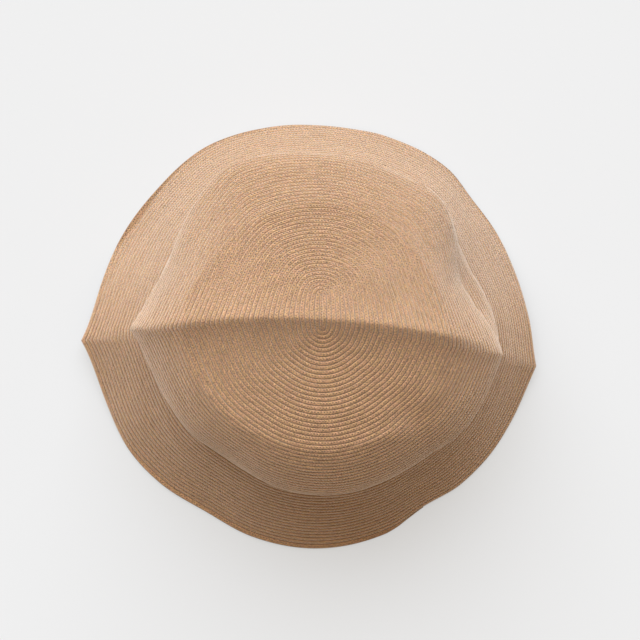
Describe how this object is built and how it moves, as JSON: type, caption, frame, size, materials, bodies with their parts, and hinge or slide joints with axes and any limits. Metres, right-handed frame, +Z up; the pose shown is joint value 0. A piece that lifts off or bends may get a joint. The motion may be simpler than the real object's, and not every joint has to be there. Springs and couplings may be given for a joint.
{
  "type": "sewn braid hat",
  "caption": "Soft packable bucket-type hat sewn from one knitted braid in a spiral, with a creased tip, a short drooping brim that turns up, and a ribbon sweatband inside.",
  "frame": {"origin": "on the table, under the middle of the hat's bounding box", "axes": "+Z up out of the tip, -Y towards the front of the hat, +X along the packing crease, towards the left hand of the wearer"},
  "size_m": [0.2665, 0.249, 0.1221],
  "materials": {
    "braid": "knitted tubular braid in camel yarn, matt with a faint fuzz",
    "sweatband": "ribbed grosgrain ribbon, slight sheen",
    "thread": "spun polyester sewing thread",
    "label": "woven satin tape, blank"
  },
  "bodies": {
    "hat": {"crown_tip": "braid", "crown_side": "braid", "brim_root": "braid", "sweatband": "sweatband", "sweatband_join": "sweatband", "sweatband_thread": "thread", "maker_label": "label"},
    "front_turn_up": {"brim_front": "braid"},
    "back_turn_up": {"brim_back": "braid"},
    "left_turn_up": {"brim_left": "braid"},
    "right_turn_up": {"brim_right": "braid"},
    "care_label_tab": {"care_label": "label"}
  },
  "joints": [
    {"name": "brim_front_turns_up", "type": "hinge", "parent": "hat", "child": "front_turn_up", "pos_m": [0.0063, -0.0967, 0.0314], "axis": [-1, 0, 0], "range_deg": [0, 125]},
    {"name": "brim_back_turns_up", "type": "hinge", "parent": "hat", "child": "back_turn_up", "pos_m": [0.0063, 0.1073, 0.0264], "axis": [1, 0, 0], "range_deg": [0, 125]},
    {"name": "brim_left_turns_up", "type": "hinge", "parent": "hat", "child": "left_turn_up", "pos_m": [-0.1007, 0.0043, 0.0348], "axis": [0, 1, 0], "range_deg": [0, 125]},
    {"name": "brim_right_turns_up", "type": "hinge", "parent": "hat", "child": "right_turn_up", "pos_m": [0.1113, 0.0043, 0.0304], "axis": [0, -1, 0], "range_deg": [0, 125]},
    {"name": "care_label_turns_out", "type": "hinge", "parent": "hat", "child": "care_label_tab", "pos_m": [-0.07374, 0.03994, 0.0505], "axis": [0.4067, 0.9135, 0], "range_deg": [0, 150]}
  ]
}
